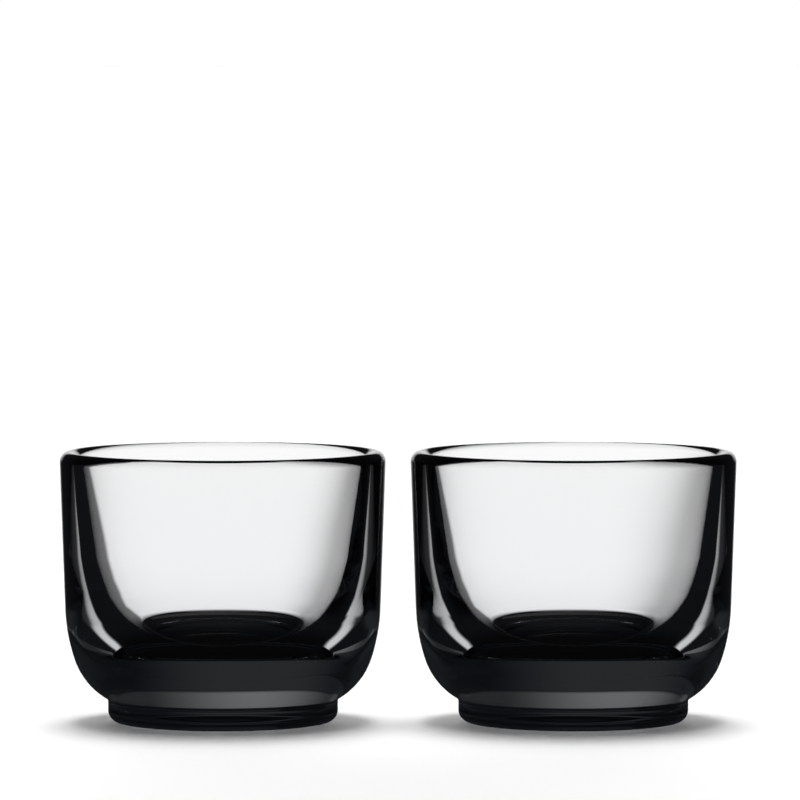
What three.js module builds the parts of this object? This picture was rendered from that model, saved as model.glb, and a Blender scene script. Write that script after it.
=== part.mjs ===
// Two alike thick-walled espresso glasses, side by side on the table: millimetres, +Z up, table at z = 0.
// Each is one pressed piece of glass: a bowl with a rounded lip and a thick base, on a narrower round foot.
import * as THREE from "three";

const { degToRad } = THREE.MathUtils;

const height = 58.3; // table to the top of the lip
const rimRadius = 35.1; // outer wall, drawn on up to the lip's height
const mouthRadius = 31.2; // inner wall, drawn on up to the lip's height
const outerDraft = degToRad(2); // lean of the straight outer wall
const innerDraft = degToRad(8.8); // lean of the straight inner wall

const shoulderHeight = 24.7; // the outer wall is straight above this
const shoulderRound = 39.7; // gentle arc below the outer wall
const shoulderTurn = degToRad(18.45); // lean where the gentle arc ends
const haunchRound = 15.25; // tighter arc that runs in to the foot

const waistHeight = 36.7; // the inner wall is straight above this
const waistRound = 74; // gentle arc below the inner wall
const waistTurn = degToRad(15.2); // lean where the gentle arc ends
const hipRound = 34.5; // closer arc under that
const hipTurn = degToRad(23); // lean where the closer arc ends
const cupRound = 18.2; // arc of the bowl's lower part
const cupTurn = degToRad(51); // lean where that arc ends
const floorCornerRound = 4; // corner into the flat inner floor

const footRadius = 24.75;
const footEdgeRound = 2.6; // lower edge of the foot
const footCornerRound = 0.9; // hollow corner where the bowl meets the foot
const recessRadius = 19.5; // shallow dome under the foot
const recessDepth = 2.2;

const axisSpacing = 75.4; // from one glass's axis to the other's
const sides = 48; // facets round each glass
const arcStep = degToRad(11); // longest turn of one facet along the profile

const quarterTurn = Math.PI / 2;

// Point of an arc's circle at a lean from upright, below and outside its centre.
function onRound(centre, radius, lean) {
  return new THREE.Vector2(centre.x + radius * Math.cos(lean), centre.y - radius * Math.sin(lean));
}

// Centre of the arc that leaves a point at a lean and curves in under the axis side.
function roundCentre(point, radius, lean) {
  return new THREE.Vector2(point.x - radius * Math.cos(lean), point.y + radius * Math.sin(lean));
}

function addArc(points, centre, radius, from, to) {
  const steps = Math.max(2, Math.ceil(Math.abs(to - from) / arcStep));
  for (let i = 0; i <= steps; i += 1) {
    const angle = from + ((to - from) * i) / steps;
    points.push(new THREE.Vector2(centre.x + radius * Math.cos(angle), centre.y + radius * Math.sin(angle)));
  }
}

// Half section, from the axis under the foot, up the outside, over the lip and down to the axis inside.
function glassProfile() {
  const points = [];

  const domeRadius = (recessRadius ** 2 + recessDepth ** 2) / (2 * recessDepth);
  const domeCentre = new THREE.Vector2(0, recessDepth - domeRadius);
  addArc(points, domeCentre, domeRadius, quarterTurn, Math.acos(recessRadius / domeRadius));

  const edgeCentre = new THREE.Vector2(footRadius - footEdgeRound, footEdgeRound);
  addArc(points, edgeCentre, footEdgeRound, -quarterTurn, 0);

  const shoulderRadius = rimRadius - (height - shoulderHeight) * Math.tan(outerDraft);
  const shoulder = new THREE.Vector2(shoulderRadius, shoulderHeight);
  const shoulderCentre = roundCentre(shoulder, shoulderRound, outerDraft);
  const haunch = onRound(shoulderCentre, shoulderRound, shoulderTurn);
  const haunchCentre = roundCentre(haunch, haunchRound, shoulderTurn);

  // The hollow corner touches the foot's upright side and the haunch from outside.
  const cornerX = footRadius + footCornerRound;
  const cornerDrop = Math.sqrt((haunchRound + footCornerRound) ** 2 - (cornerX - haunchCentre.x) ** 2);
  const cornerCentre = new THREE.Vector2(cornerX, haunchCentre.y - cornerDrop);
  const towardsHaunch = Math.atan2(cornerDrop, haunchCentre.x - cornerX);
  addArc(points, cornerCentre, footCornerRound, Math.PI, towardsHaunch);
  addArc(points, haunchCentre, haunchRound, towardsHaunch - Math.PI, -shoulderTurn);
  addArc(points, shoulderCentre, shoulderRound, -shoulderTurn, -outerDraft);

  // The lip is one round that touches both walls and the full height.
  const outerReach = Math.tan(outerDraft) + 1 / Math.cos(outerDraft);
  const innerReach = 1 / Math.cos(innerDraft) - Math.tan(innerDraft);
  const lipRound = (rimRadius - mouthRadius) / (outerReach + innerReach);
  const lipX = rimRadius - lipRound * outerReach;
  const lipCentre = new THREE.Vector2(lipX, height - lipRound);
  addArc(points, lipCentre, lipRound, -outerDraft, Math.PI - innerDraft);

  const waistRadius = mouthRadius - (height - waistHeight) * Math.tan(innerDraft);
  const waist = new THREE.Vector2(waistRadius, waistHeight);
  const waistCentre = roundCentre(waist, waistRound, innerDraft);
  const hip = onRound(waistCentre, waistRound, waistTurn);
  const hipCentre = roundCentre(hip, hipRound, waistTurn);
  const cup = onRound(hipCentre, hipRound, hipTurn);
  const cupCentre = roundCentre(cup, cupRound, hipTurn);
  const corner = onRound(cupCentre, cupRound, cupTurn);
  const floorCentre = roundCentre(corner, floorCornerRound, cupTurn);
  addArc(points, waistCentre, waistRound, -innerDraft, -waistTurn);
  addArc(points, hipCentre, hipRound, -waistTurn, -hipTurn);
  addArc(points, cupCentre, cupRound, -hipTurn, -cupTurn);
  addArc(points, floorCentre, floorCornerRound, -cupTurn, -quarterTurn);
  points.push(new THREE.Vector2(0, floorCentre.y - floorCornerRound));

  // Arcs that follow on share an end, which counts once.
  return points.filter((p, i) => i === 0 || p.distanceTo(points[i - 1]) > 1e-6);
}

function makeGlass(name, x) {
  const geometry = new THREE.LatheGeometry(glassProfile(), sides);
  geometry.rotateX(quarterTurn);
  const material = new THREE.MeshStandardMaterial({
    color: 0xf2f4f5,
    roughness: 0.03,
    metalness: 0,
    transparent: true,
    opacity: 0.35,
  });
  const glass = new THREE.Mesh(geometry, material);
  glass.name = name;
  glass.position.x = x;
  return glass;
}

const pair = new THREE.Group();
pair.name = "espresso_glasses";
for (const [name, side] of [["left_glass", -1], ["right_glass", 1]]) {
  pair.add(makeGlass(name, (side * axisSpacing) / 2));
}

export default pair;
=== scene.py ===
import math

import bmesh
import bpy
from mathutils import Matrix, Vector


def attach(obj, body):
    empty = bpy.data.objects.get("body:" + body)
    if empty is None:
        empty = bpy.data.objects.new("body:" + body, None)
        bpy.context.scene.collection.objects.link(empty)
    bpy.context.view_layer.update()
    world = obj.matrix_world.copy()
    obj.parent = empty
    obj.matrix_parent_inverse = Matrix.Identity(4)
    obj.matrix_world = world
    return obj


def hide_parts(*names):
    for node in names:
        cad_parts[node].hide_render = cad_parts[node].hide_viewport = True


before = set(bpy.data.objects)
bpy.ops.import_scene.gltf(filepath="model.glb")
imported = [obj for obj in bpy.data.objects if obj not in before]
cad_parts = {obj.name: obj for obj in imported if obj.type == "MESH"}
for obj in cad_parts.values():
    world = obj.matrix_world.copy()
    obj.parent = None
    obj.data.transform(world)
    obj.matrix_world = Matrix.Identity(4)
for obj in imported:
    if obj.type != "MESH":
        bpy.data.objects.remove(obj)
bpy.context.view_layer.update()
scene = bpy.context.scene
scene.view_settings.view_transform = "Standard"
mm = 0.001
print("frame loaded:", sorted(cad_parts))


# small helpers for nodes

def addNode(tree, kind, **settings):
    node = tree.nodes.new(kind)
    for name, value in settings.items():
        setattr(node, name, value)
    return node


def plug(tree, source, target):
    # a plain number is typed into the socket, anything else is wired to it
    if isinstance(source, (int, float)):
        target.default_value = source
    else:
        tree.links.new(source, target)


def calc(tree, operation, first, second=0.0):
    node = addNode(tree, "ShaderNodeMath", operation=operation)
    plug(tree, first, node.inputs[0])
    plug(tree, second, node.inputs[1])
    return node.outputs[0]


def ramp(tree, value, fromMin, fromMax, toMin, toMax):
    node = addNode(tree, "ShaderNodeMapRange", interpolation_type="SMOOTHSTEP")
    plug(tree, value, node.inputs["Value"])
    limits = {"From Min": fromMin, "From Max": fromMax, "To Min": toMin, "To Max": toMax}
    for name, number in limits.items():
        node.inputs[name].default_value = number
    return node.outputs[0]


def hump(tree, value, up, on, off, down, top):
    # rises from 0 to its top between up and on, and falls back between off and down
    rising = ramp(tree, value, up, on, 0.0, top)
    falling = ramp(tree, value, off, down, 1.0, 0.0)
    return calc(tree, "MULTIPLY", rising, falling)


def blend(tree, share, first, second):
    node = addNode(tree, "ShaderNodeMix")
    plug(tree, share, node.inputs["Factor"])
    plug(tree, first, node.inputs["A"])
    plug(tree, second, node.inputs["B"])
    return node.outputs["Result"]


def length(tree, across, up):
    squares = calc(tree, "ADD", calc(tree, "MULTIPLY", across, across), calc(tree, "MULTIPLY", up, up))
    return calc(tree, "SQRT", squares)


# the glass itself: one pressed piece, turned from its half section, sizes in mm

glassSizes = {
    "height": 58.3,
    "rimRadius": 35.1,  # outer wall drawn on to the lip's height
    "mouthRadius": 31.2,  # inner wall drawn on to the lip's height
    "outerDraft": 2.0,
    "innerDraft": 8.8,
    "shoulderHeight": 24.7,
    "shoulderRound": 39.7,
    "shoulderTurn": 18.45,
    "haunchRound": 15.25,
    "waistHeight": 36.7,
    "waistRound": 74.0,
    "waistTurn": 15.2,
    "hipRound": 34.5,
    "hipTurn": 23.0,
    "cupRound": 18.2,
    "cupTurn": 51.0,
    "floorCornerRound": 4.0,
    "footRadius": 24.75,
    "footEdgeRound": 2.6,
    "footCornerRound": 0.9,
    "recessRadius": 19.5,
    "recessDepth": 2.2,
    "recessEdge": 0.35,  # softened edge of the hollow under the foot
    "axisSpacing": 75.4,
    "roundSteps": 256,
    "weld": 0.0001,  # points as close as this are made one
    "nearEnough": 0.001,  # to count as a point on an edge
}

# short straight steps in each round of the half section
arcSteps = {
    "dome": 24,
    "footEdge": 16,
    "footCorner": 10,
    "haunch": 30,
    "shoulder": 12,
    "lip": 40,
    "waist": 10,
    "hip": 10,
    "cup": 18,
    "floorCorner": 16,
    "recessEdge": 3,
}


def drawTo(bm, end, x, z):
    # straight stretch of the outline, from its end to a new one
    made = bmesh.ops.extrude_vert_indiv(bm, verts=[end])["verts"][0]
    made.co = Vector((x, 0, z)) * mm
    return made


def drawRound(bm, end, centreX, centreZ, turn, steps):
    # carries the end of the outline round a centre, to the left for a positive turn
    centre = Vector((centreX, 0, centreZ)) * mm
    made = bmesh.ops.spin(bm, geom=[end], cent=centre, axis=(0, -1, 0), angle=turn, steps=steps)
    return [v for v in made["geom_last"] if isinstance(v, bmesh.types.BMVert)][0]


def drawHalfSection(bm, size):
    outer = math.radians(size["outerDraft"])
    inner = math.radians(size["innerDraft"])
    shoulderTurn = math.radians(size["shoulderTurn"])
    waistTurn = math.radians(size["waistTurn"])
    hipTurn = math.radians(size["hipTurn"])
    cupTurn = math.radians(size["cupTurn"])
    quarter = math.pi / 2

    # hollow under the foot, then the ring it stands on and the foot's rounded edge
    domeRadius = (size["recessRadius"] ** 2 + size["recessDepth"] ** 2) / (2 * size["recessDepth"])
    domeTurn = quarter - math.acos(size["recessRadius"] / domeRadius)
    end = bm.verts.new(Vector((0, 0, size["recessDepth"])) * mm)
    end = drawRound(bm, end, 0, size["recessDepth"] - domeRadius, -domeTurn, arcSteps["dome"])
    ringX = size["footRadius"] - size["footEdgeRound"]
    end = drawTo(bm, end, ringX, 0)
    end = drawRound(bm, end, ringX, size["footEdgeRound"], quarter, arcSteps["footEdge"])

    # outer wall: shoulder and haunch arcs follow on from the straight wall above
    shoulderX = size["rimRadius"] - (size["height"] - size["shoulderHeight"]) * math.tan(outer)
    shoulderCentreX = shoulderX - size["shoulderRound"] * math.cos(outer)
    shoulderCentreZ = size["shoulderHeight"] + size["shoulderRound"] * math.sin(outer)
    step = size["shoulderRound"] - size["haunchRound"]
    haunchCentreX = shoulderCentreX + step * math.cos(shoulderTurn)
    haunchCentreZ = shoulderCentreZ - step * math.sin(shoulderTurn)
    cornerX = size["footRadius"] + size["footCornerRound"]
    cornerReach = size["haunchRound"] + size["footCornerRound"]
    cornerDrop = math.sqrt(cornerReach ** 2 - (cornerX - haunchCentreX) ** 2)
    cornerZ = haunchCentreZ - cornerDrop
    towardsHaunch = math.atan2(cornerDrop, haunchCentreX - cornerX)
    end = drawTo(bm, end, size["footRadius"], cornerZ)
    haunchTurn = math.pi - towardsHaunch - shoulderTurn
    end = drawRound(bm, end, cornerX, cornerZ, towardsHaunch - math.pi, arcSteps["footCorner"])
    end = drawRound(bm, end, haunchCentreX, haunchCentreZ, haunchTurn, arcSteps["haunch"])
    end = drawRound(bm, end, shoulderCentreX, shoulderCentreZ, shoulderTurn - outer, arcSteps["shoulder"])

    # the lip is one round that touches both walls
    wallsMeet = math.tan(outer) + 1 / math.cos(outer) - math.tan(inner) + 1 / math.cos(inner)
    lipRound = (size["rimRadius"] - size["mouthRadius"]) / wallsMeet
    lipX = size["rimRadius"] - lipRound * (math.tan(outer) + 1 / math.cos(outer))
    lipZ = size["height"] - lipRound
    end = drawTo(bm, end, lipX + lipRound * math.cos(outer), lipZ - lipRound * math.sin(outer))
    end = drawRound(bm, end, lipX, lipZ, math.pi - inner + outer, arcSteps["lip"])

    # inner wall, down to the flat floor of the bowl
    waistX = size["mouthRadius"] - (size["height"] - size["waistHeight"]) * math.tan(inner)
    waistCentreX = waistX - size["waistRound"] * math.cos(inner)
    waistCentreZ = size["waistHeight"] + size["waistRound"] * math.sin(inner)
    step = size["waistRound"] - size["hipRound"]
    hipCentreX = waistCentreX + step * math.cos(waistTurn)
    hipCentreZ = waistCentreZ - step * math.sin(waistTurn)
    step = size["hipRound"] - size["cupRound"]
    cupCentreX = hipCentreX + step * math.cos(hipTurn)
    cupCentreZ = hipCentreZ - step * math.sin(hipTurn)
    step = size["cupRound"] - size["floorCornerRound"]
    floorCentreX = cupCentreX + step * math.cos(cupTurn)
    floorCentreZ = cupCentreZ - step * math.sin(cupTurn)
    end = drawTo(bm, end, waistX, size["waistHeight"])
    end = drawRound(bm, end, waistCentreX, waistCentreZ, inner - waistTurn, arcSteps["waist"])
    end = drawRound(bm, end, hipCentreX, hipCentreZ, waistTurn - hipTurn, arcSteps["hip"])
    end = drawRound(bm, end, cupCentreX, cupCentreZ, hipTurn - cupTurn, arcSteps["cup"])
    end = drawRound(bm, end, floorCentreX, floorCentreZ, cupTurn - quarter, arcSteps["floorCorner"])
    drawTo(bm, end, 0, floorCentreZ - size["floorCornerRound"])


def isOnRecessEdge(vert, size):
    offEdge = abs(vert.co.xy.length - size["recessRadius"] * mm)
    return max(abs(vert.co.z), offEdge) < size["nearEnough"] * mm


def makeGlass(name, size, x, material):
    bm = bmesh.new()
    drawHalfSection(bm, size)
    outline = bm.verts[:] + bm.edges[:]
    bmesh.ops.spin(bm, geom=outline, cent=(0, 0, 0), axis=(0, 0, 1), angle=2 * math.pi,
                   steps=size["roundSteps"], use_merge=True)
    bmesh.ops.remove_doubles(bm, verts=bm.verts[:], dist=size["weld"] * mm)
    bmesh.ops.recalc_face_normals(bm, faces=bm.faces[:])
    loop = [edge for edge in bm.edges if all(isOnRecessEdge(vert, size) for vert in edge.verts)]
    bmesh.ops.bevel(bm, geom=loop, offset=size["recessEdge"] * mm, affect="EDGES",
                    segments=arcSteps["recessEdge"], profile=0.5, material=-1)
    bmesh.ops.translate(bm, verts=bm.verts[:], vec=(x * mm, 0, 0))
    mesh = bpy.data.meshes.new(name)
    bm.to_mesh(mesh)
    print(name, "made:", len(bm.faces), "faces,", round(bm.calc_volume() * 1e6, 1), "ml of glass")
    bm.free()
    mesh.shade_smooth()
    mesh.materials.append(material)
    piece = bpy.data.objects.new(name, mesh)
    scene.collection.objects.link(piece)
    return piece


# clear pressed glass: hardly any colour, with the slow waviness a mould leaves

clearGlass = {
    "ior": 1.475,
    "roughness": 0.0,
    "waveScale": 45.0,  # about so many waves in a metre
    "waveDetail": 1.0,
    "waveStrength": 0.02,
    "waveHeight": 1.0,  # mm
    "bodyColour": (0.80, 0.86, 0.90, 1.0),
    "bodyDensity": 10.0,  # per metre of glass
}


def makeClearGlass(look):
    material = bpy.data.materials.new("clearGlass")
    material.use_nodes = True
    tree = material.node_tree
    shader = tree.nodes["Principled BSDF"]
    shader.inputs["Roughness"].default_value = look["roughness"]
    shader.inputs["IOR"].default_value = look["ior"]
    shader.inputs["Transmission Weight"].default_value = 1.0
    shader.inputs["Base Color"].default_value = (1, 1, 1, 1)
    place = addNode(tree, "ShaderNodeTexCoord")
    waves = addNode(tree, "ShaderNodeTexNoise")
    waves.inputs["Scale"].default_value = look["waveScale"]
    waves.inputs["Detail"].default_value = look["waveDetail"]
    bump = addNode(tree, "ShaderNodeBump")
    bump.inputs["Strength"].default_value = look["waveStrength"]
    bump.inputs["Distance"].default_value = look["waveHeight"] * mm
    tree.links.new(place.outputs["Object"], waves.inputs["Vector"])
    tree.links.new(waves.outputs["Fac"], bump.inputs["Height"])
    tree.links.new(bump.outputs["Normal"], shader.inputs["Normal"])
    body = addNode(tree, "ShaderNodeVolumeAbsorption")
    body.inputs["Color"].default_value = look["bodyColour"]
    body.inputs["Density"].default_value = look["bodyDensity"]
    tree.links.new(body.outputs["Volume"], tree.nodes["Material Output"].inputs["Volume"])
    return material


glassMaterial = makeClearGlass(clearGlass)
glassPlaces = {"left": -glassSizes["axisSpacing"] / 2, "right": glassSizes["axisSpacing"] / 2}
for side, x in glassPlaces.items():
    piece = makeGlass(side + "ClearGlass", glassSizes, x, glassMaterial)
    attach(piece, side + "_glass_body")
    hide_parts(side + "_glass")
print("glasses placed")


# studio floor: white, with the shadow of the glasses

studioFloor = {
    "half": 12.0,  # metres
    "drop": 0.02,  # mm under the feet
    "colour": (1.0, 1.0, 1.0, 1.0),
}


def makeSheet(name, half, drop):
    bm = bmesh.new()
    bmesh.ops.create_grid(bm, x_segments=1, y_segments=1, size=half)
    bmesh.ops.translate(bm, verts=bm.verts[:], vec=(0, 0, -drop * mm))
    mesh = bpy.data.meshes.new(name)
    bm.to_mesh(mesh)
    bm.free()
    sheet = bpy.data.objects.new(name, mesh)
    scene.collection.objects.link(sheet)
    material = bpy.data.materials.new(name)
    material.use_nodes = True
    mesh.materials.append(material)
    return sheet, material.node_tree


def makeFloor(look):
    floor, tree = makeSheet("studioFloor", look["half"], look["drop"])
    shader = tree.nodes["Principled BSDF"]
    shader.inputs["Base Color"].default_value = look["colour"]
    shader.inputs["Roughness"].default_value = 1.0
    shader.inputs["Specular IOR Level"].default_value = 0.0
    floor.visible_glossy = False
    floor.visible_transmission = False


makeFloor(studioFloor)


# a sheet seen only through the glass, standing in for the floor there: painted shade, dark under each foot,
# and two painted strips of light that run out behind it to left and right; mm from the glass's axis

paintedFloorInGlass = {
    "half": 0.25,  # metres
    "drop": 0.04,  # mm under the feet
    # painted shade under each foot
    "shade": (27.0, 40.0),  # dark up to the first, clear past the second
    # faint glow of the painted shade
    "dark": 0.0012,
    # the painted strips of light, glowing where the floor behind each glass would be lit
    "stripStart": (31.0, 10.0),  # to the side and to the back
    "stripLean": 33.6,  # degrees to the side
    "stripEdge": (-3.0, 1.0),  # across a strip: the sharp outer edge
    "stripSoft": (-18.0, -7.0, 0.08, 1.0),  # the soft inner one
    "stripTail": (-60.0, -20.0, 0.0, 1.0),  # and a faint glow inside that
    "stripLevel": (0.0, 60.0, 0.66, 0.36),  # along a strip
    "stripEnds": (-3.0, 2.0, 125.0, 165.0),
    "reachLeast": (-6.0, -3.0),  # a ray's way from the glass, less the way back to where it lands
    "reachMost": (3.0, 6.0),  # and less that way stretched
    "reachStretch": 1.2,
}


# one painted strip of light: a glow on the sheet, not a lamp
def makePaintedLightStrip(tree, look, aside, back):
    lean = math.radians(look["stripLean"])
    outward = calc(tree, "SUBTRACT", aside, look["stripStart"][0])
    onward = calc(tree, "SUBTRACT", back, look["stripStart"][1])
    across = calc(tree, "SUBTRACT", calc(tree, "MULTIPLY", outward, math.cos(lean)),
                  calc(tree, "MULTIPLY", onward, math.sin(lean)))
    along = calc(tree, "ADD", calc(tree, "MULTIPLY", outward, math.sin(lean)),
                 calc(tree, "MULTIPLY", onward, math.cos(lean)))
    light = ramp(tree, across, *look["stripEdge"], 1.0, 0.0)
    light = calc(tree, "MULTIPLY", light, ramp(tree, across, *look["stripSoft"]))
    light = calc(tree, "MULTIPLY", light, ramp(tree, across, *look["stripTail"]))
    light = calc(tree, "MULTIPLY", light, ramp(tree, along, *look["stripLevel"]))
    return calc(tree, "MULTIPLY", light, hump(tree, along, *look["stripEnds"], 1.0))


def ownGlassOnly(tree, look, path, back):
    # rays thrown back once, that come from the glass the strip belongs to
    way = calc(tree, "DIVIDE", path["Ray Length"], mm)
    stretched = calc(tree, "MULTIPLY", back, look["reachStretch"])
    least = ramp(tree, calc(tree, "SUBTRACT", way, back), *look["reachLeast"], 0.0, 1.0)
    most = ramp(tree, calc(tree, "SUBTRACT", way, stretched), *look["reachMost"], 1.0, 0.0)
    thrownOnce = calc(tree, "MULTIPLY", calc(tree, "GREATER_THAN", path["Glossy Depth"], 0),
                      calc(tree, "LESS_THAN", path["Glossy Depth"], 2))
    inAndOut = calc(tree, "LESS_THAN", path["Transmission Depth"], 3)
    own = calc(tree, "MULTIPLY", thrownOnce, inAndOut)
    return calc(tree, "MULTIPLY", own, calc(tree, "MULTIPLY", least, most))


def makePaintedFloorInGlass(look, places):
    sheet, tree = makeSheet("paintedFloorInGlass", look["half"], look["drop"])
    sheet.data.materials[0].cycles.emission_sampling = "NONE"
    tree.nodes.remove(tree.nodes["Principled BSDF"])
    path = addNode(tree, "ShaderNodeLightPath").outputs
    place = addNode(tree, "ShaderNodeTexCoord")
    part = addNode(tree, "ShaderNodeSeparateXYZ")
    tree.links.new(place.outputs["Object"], part.inputs[0])
    back = calc(tree, "DIVIDE", part.outputs["Y"], mm)
    across = calc(tree, "DIVIDE", part.outputs["X"], mm)
    clear = 1.0
    paintedStrips = 0.0
    for x in places:
        aside = calc(tree, "ABSOLUTE", calc(tree, "SUBTRACT", across, x))
        apart = length(tree, aside, back)
        clear = calc(tree, "MINIMUM", clear, ramp(tree, apart, *look["shade"], 0.0, 1.0))
        paintedStrips = calc(tree, "MAXIMUM", paintedStrips, makePaintedLightStrip(tree, look, aside, back))
    light = calc(tree, "MULTIPLY", paintedStrips, ownGlassOnly(tree, look, path, back))
    # the sheet glows with the painted strips and the painted shade's faint light, and lets the world
    # through only outside the painted shade
    paintedGlow = addNode(tree, "ShaderNodeEmission")
    plug(tree, calc(tree, "ADD", light, look["dark"]), paintedGlow.inputs["Strength"])
    beyond = addNode(tree, "ShaderNodeBsdfTransparent")
    tree.links.new(clear, beyond.inputs["Color"])
    both = addNode(tree, "ShaderNodeAddShader")
    tree.links.new(paintedGlow.outputs[0], both.inputs[0])
    tree.links.new(beyond.outputs[0], both.inputs[1])
    tree.links.new(both.outputs[0], tree.nodes["Material Output"].inputs["Surface"])
    sheet.visible_camera = False
    sheet.visible_diffuse = False
    sheet.visible_glossy = False
    sheet.visible_shadow = False


makePaintedFloorInGlass(paintedFloorInGlass, glassPlaces.values())
print("floor ready")


# surround: white to the camera, two lamps for the floor, and a darker studio seen in the glass

lampOverhead = {
    "strength": 24.0,
    "lean": 9.2,  # degrees towards the back
    "spread": 30.0,  # a higher number is a smaller lamp
    "squeeze": 1.73,  # above 1 the lamp is narrower from left to right
}

# the glow of the white backdrop, low behind the glasses and broad
lampBehind = {
    "strength": 52.0,
    "lean": 89.0,
    "spread": 58.0,
    "squeeze": 0.42,
}

throughGlass = 0.26  # share of the lamps' light that passes through the glass to the floor

# what a ray meets after it has gone straight through the walls: bright below the horizon, dim above it;
# four numbers are two angles in degrees and the light at each, five are the angles of a hump and its top
seenStraight = {
    "horizon": (-7.0, -4.6, 1.04, 0.03),
    "near": (-34.0, -14.0, 0.9, 1.0),  # a little dimmer close by
    "sky": (-4.6, 0.5, 1.0, 0.33),  # and dimmer still above the horizon
    "skyRise": (7.0, 10.0, 15.0, 24.0, 0.024),  # a faint band higher up
    "leftCard": (-60.0, -48.0, -23.0, -19.0, 0.78),  # a dark card to the left, and the share it takes away
    "rightCard": (3.0, 16.0, 48.0, 60.0, 0.47),  # a softer grey one to the right
}

# what is mirrored on the outside: only the backdrop behind the glass is bright
seenMirrored = {
    "dark": 0.016,
    "backdrop": (0.0, 3.0, 26.0, 11.0),  # turn, rise, half width and half height in degrees
    "backdropGlow": (0.4, 1.0, 0.9, 0.0),  # from the middle, where 1 is the oval's edge
}

# what a ray meets after it has been thrown back inside a wall: a dim strip at the horizon and a dimmer sky
seenTurned = {
    "dark": 0.0045,
    "bandRise": (-9.5, -8.0, -4.0, -3.1, 0.15),
    "bandWidth": (0.0, 31.0, 1.0, 0.15),
    "skyRise": (-3.8, -3.0, 6.0, 12.0, 0.024),
}

skyWidth = {
    "lean": 10.0,  # band and sky are brightest so many degrees to the left
    "fade": (8.0, 38.0, 1.0, 0.17),
}

surroundHue = {
    "dark": (0.8, 0.94, 1.16, 1.0),
    "bright": (1.0, 1.0, 1.0, 1.0),
    "change": (0.0, 0.03, 0.0, 1.0),  # from the first at no light to the second at a little
}


def fromMiddle(tree, oval, side, rise):
    # 0 in the middle of an oval, 1 on its edge
    atSide, atRise, halfWide, halfHigh = oval
    across = calc(tree, "DIVIDE", calc(tree, "SUBTRACT", side, atSide), halfWide)
    up = calc(tree, "DIVIDE", calc(tree, "SUBTRACT", rise, atRise), halfHigh)
    return length(tree, across, up)


def sideways(tree, side, fade):
    offMiddle = calc(tree, "ABSOLUTE", calc(tree, "ADD", side, skyWidth["lean"]))
    return ramp(tree, offMiddle, *fade)


def lookStraight(tree, look, side, rise):
    light = calc(tree, "MULTIPLY", ramp(tree, rise, *look["horizon"]), ramp(tree, rise, *look["near"]))
    light = calc(tree, "MULTIPLY", light, ramp(tree, rise, *look["sky"]))
    for card in ("leftCard", "rightCard"):
        light = calc(tree, "MULTIPLY", light, calc(tree, "SUBTRACT", 1.0, hump(tree, side, *look[card])))
    sky = calc(tree, "MULTIPLY", hump(tree, rise, *look["skyRise"]), sideways(tree, side, skyWidth["fade"]))
    return calc(tree, "MAXIMUM", light, sky)


def lookMirrored(tree, look, turn, rise):
    backdrop = ramp(tree, fromMiddle(tree, look["backdrop"], turn, rise), *look["backdropGlow"])
    return calc(tree, "MAXIMUM", backdrop, look["dark"])


def lookTurned(tree, look, side, rise):
    bandAcross = sideways(tree, side, look["bandWidth"])
    band = calc(tree, "MULTIPLY", hump(tree, rise, *look["bandRise"]), bandAcross)
    sky = calc(tree, "MULTIPLY", hump(tree, rise, *look["skyRise"]), sideways(tree, side, skyWidth["fade"]))
    return calc(tree, "MAXIMUM", calc(tree, "MAXIMUM", band, sky), look["dark"])


def lampLight(tree, look, direction):
    lean = math.radians(look["lean"])
    squeezed = addNode(tree, "ShaderNodeVectorMath", operation="MULTIPLY")
    tree.links.new(direction, squeezed.inputs[0])
    squeezed.inputs[1].default_value = (look["squeeze"], 1, 1)
    unit = addNode(tree, "ShaderNodeVectorMath", operation="NORMALIZE")
    tree.links.new(squeezed.outputs["Vector"], unit.inputs[0])
    toLamp = addNode(tree, "ShaderNodeVectorMath", operation="DOT_PRODUCT")
    tree.links.new(unit.outputs["Vector"], toLamp.inputs[0])
    toLamp.inputs[1].default_value = (0, math.sin(lean), math.cos(lean))
    facing = calc(tree, "MAXIMUM", toLamp.outputs["Value"], 0.0)
    return calc(tree, "MULTIPLY", calc(tree, "POWER", facing, look["spread"]), look["strength"])


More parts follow.
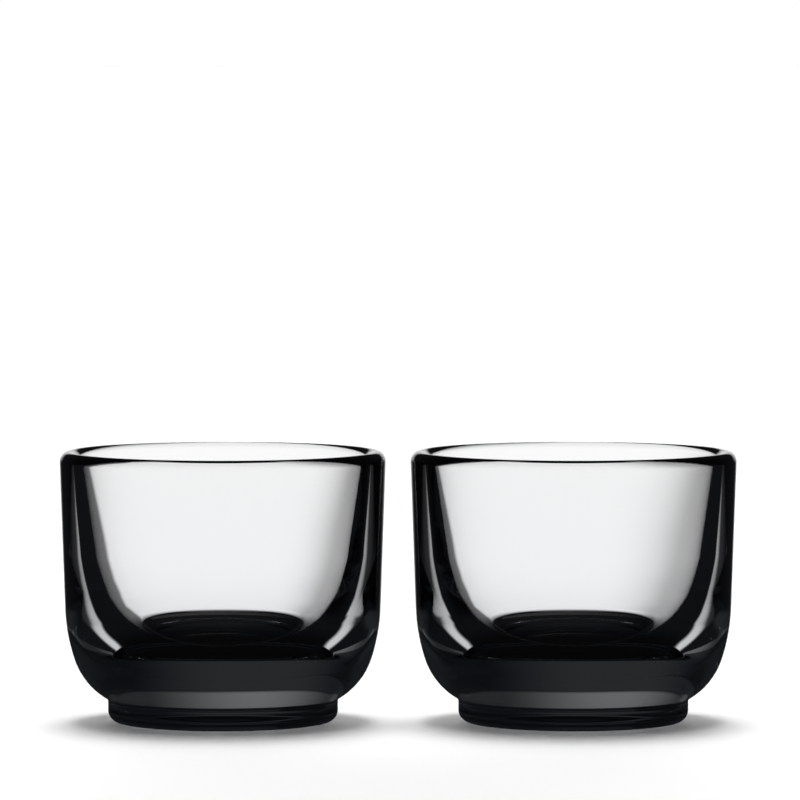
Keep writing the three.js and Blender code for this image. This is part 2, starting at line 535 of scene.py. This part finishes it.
def makeSurround():
    world = bpy.data.worlds.new("whiteSurround")
    scene.world = world
    world.use_nodes = True
    tree = world.node_tree
    path = addNode(tree, "ShaderNodeLightPath").outputs
    direction = addNode(tree, "ShaderNodeTexCoord").outputs["Generated"]
    part = addNode(tree, "ShaderNodeSeparateXYZ")
    tree.links.new(direction, part.inputs[0])
    degrees = 180 / math.pi
    rise = calc(tree, "MULTIPLY", calc(tree, "ARCSINE", part.outputs["Z"]), degrees)
    turn = calc(tree, "MULTIPLY", calc(tree, "ARCTAN2", part.outputs["X"], part.outputs["Y"]), degrees)
    # how far to the side, alike for front and back
    depth = calc(tree, "ABSOLUTE", part.outputs["Y"])
    side = calc(tree, "MULTIPLY", calc(tree, "ARCTAN2", part.outputs["X"], depth), degrees)

    # rays of the picture see the studio in the glass, all others are light for the floor
    thrown = calc(tree, "GREATER_THAN", path["Glossy Depth"], 0)
    straight = lookStraight(tree, seenStraight, side, rise)
    inGlass = blend(tree, thrown, straight, lookTurned(tree, seenTurned, side, rise))
    onlyMirrored = calc(tree, "SUBTRACT", path["Is Glossy Ray"], path["Is Transmission Ray"])
    inGlass = blend(tree, onlyMirrored, inGlass, lookMirrored(tree, seenMirrored, turn, rise))
    fresh = calc(tree, "LESS_THAN", path["Diffuse Depth"], 1)
    glassy = calc(tree, "MAXIMUM", path["Is Transmission Ray"], path["Is Glossy Ray"])
    lamps = calc(tree, "ADD", lampLight(tree, lampOverhead, direction),
                 lampLight(tree, lampBehind, direction))
    hasPassedGlass = calc(tree, "GREATER_THAN", path["Transmission Depth"], 0)
    floorLight = calc(tree, "MULTIPLY", lamps, blend(tree, hasPassedGlass, 1.0, throughGlass))
    light = blend(tree, calc(tree, "MULTIPLY", fresh, glassy), floorLight, inGlass)
    light = blend(tree, path["Is Camera Ray"], light, 1.0)

    # the dark parts are a little blue; a Mix node's colours go in at 6 and 7 and come out at 2
    hue = addNode(tree, "ShaderNodeMix", data_type="RGBA")
    plug(tree, ramp(tree, light, *surroundHue["change"]), hue.inputs["Factor"])
    hue.inputs[6].default_value = surroundHue["dark"]
    hue.inputs[7].default_value = surroundHue["bright"]
    glow = tree.nodes["Background"]
    plug(tree, light, glow.inputs["Strength"])
    tree.links.new(hue.outputs[2], glow.inputs["Color"])


makeSurround()
print("surround ready")


# camera at the photograph's place, a long lens a little above the lips

cameraPlace = {
    "stand": (0.0, -1.643, 0.160),  # metres
    "aim": (0.0004, 0.0, 0.0693),
    "sensor": 36.0,  # mm
    "lens": 344.63,
    "clip": (0.01, 100.0),
}


def makeCamera(place):
    lens = bpy.data.cameras.new("photoCamera")
    lens.sensor_width = place["sensor"]
    lens.lens = place["lens"]
    lens.clip_start, lens.clip_end = place["clip"]
    camera = bpy.data.objects.new("photoCamera", lens)
    camera.location = place["stand"]
    towardsAim = Vector(place["aim"]) - Vector(place["stand"])
    camera.rotation_euler = towardsAim.to_track_quat("-Z", "Y").to_euler()
    scene.collection.objects.link(camera)
    scene.camera = camera


makeCamera(cameraPlace)
print("camera set")

bpy.context.view_layer.update()
